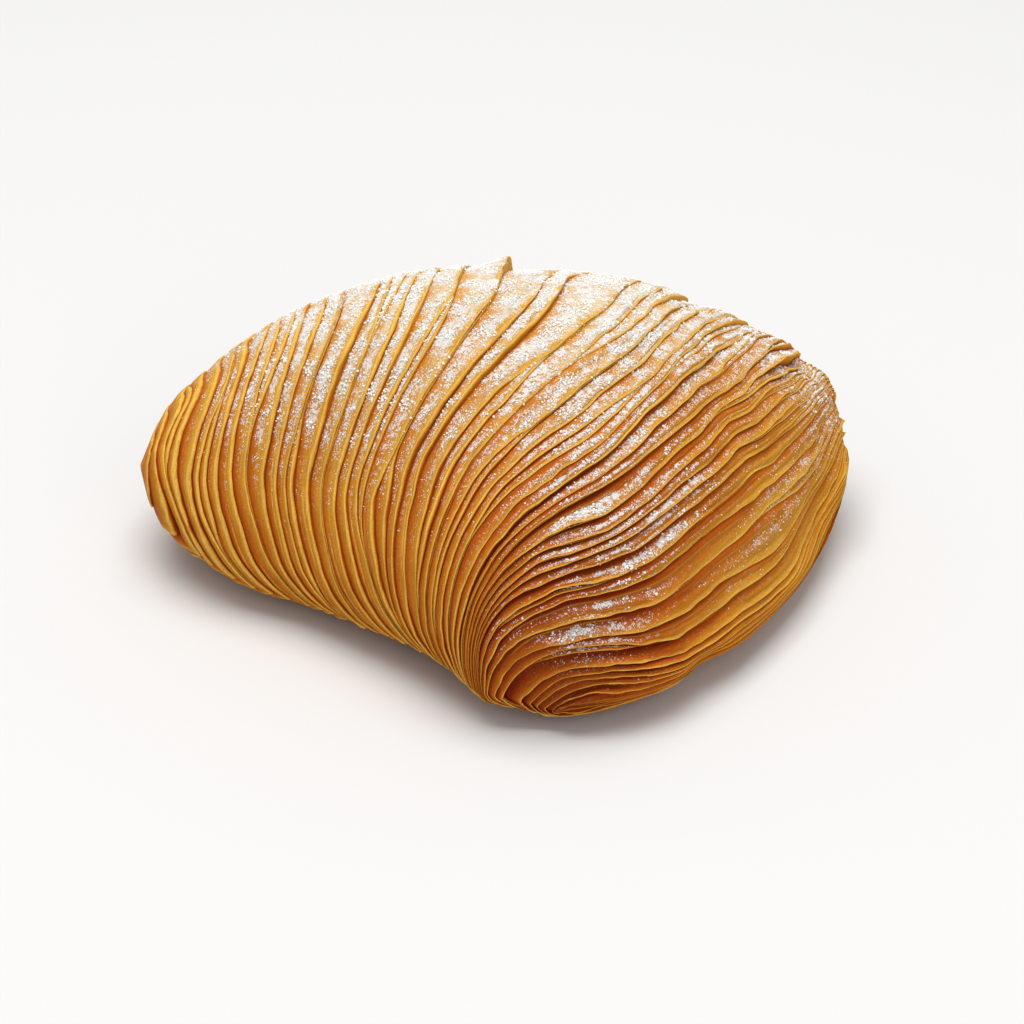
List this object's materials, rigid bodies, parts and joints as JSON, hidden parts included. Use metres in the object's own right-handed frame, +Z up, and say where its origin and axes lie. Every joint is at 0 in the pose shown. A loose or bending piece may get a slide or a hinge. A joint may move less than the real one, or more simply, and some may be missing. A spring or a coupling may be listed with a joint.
{
  "type": "sfogliatella",
  "caption": "Filled pastry of thin crisp folds that fan out between two pinched corners, lightly dusted with sugar, resting on a flat base.",
  "frame": {"origin": "centre of the bounding box in plan, at the height of the flat base", "axes": "+X from the rounded nose towards the mouth, along the longest side; +Y from the near pinched corner to the back; +Z up"},
  "size_m": [0.112, 0.081, 0.0495],
  "materials": {
    "crust": "baked golden-brown pastry, satin",
    "sugar": "matte white powder"
  },
  "bodies": {
    "root": {"pastry": "crust"}
  },
  "joints": []
}
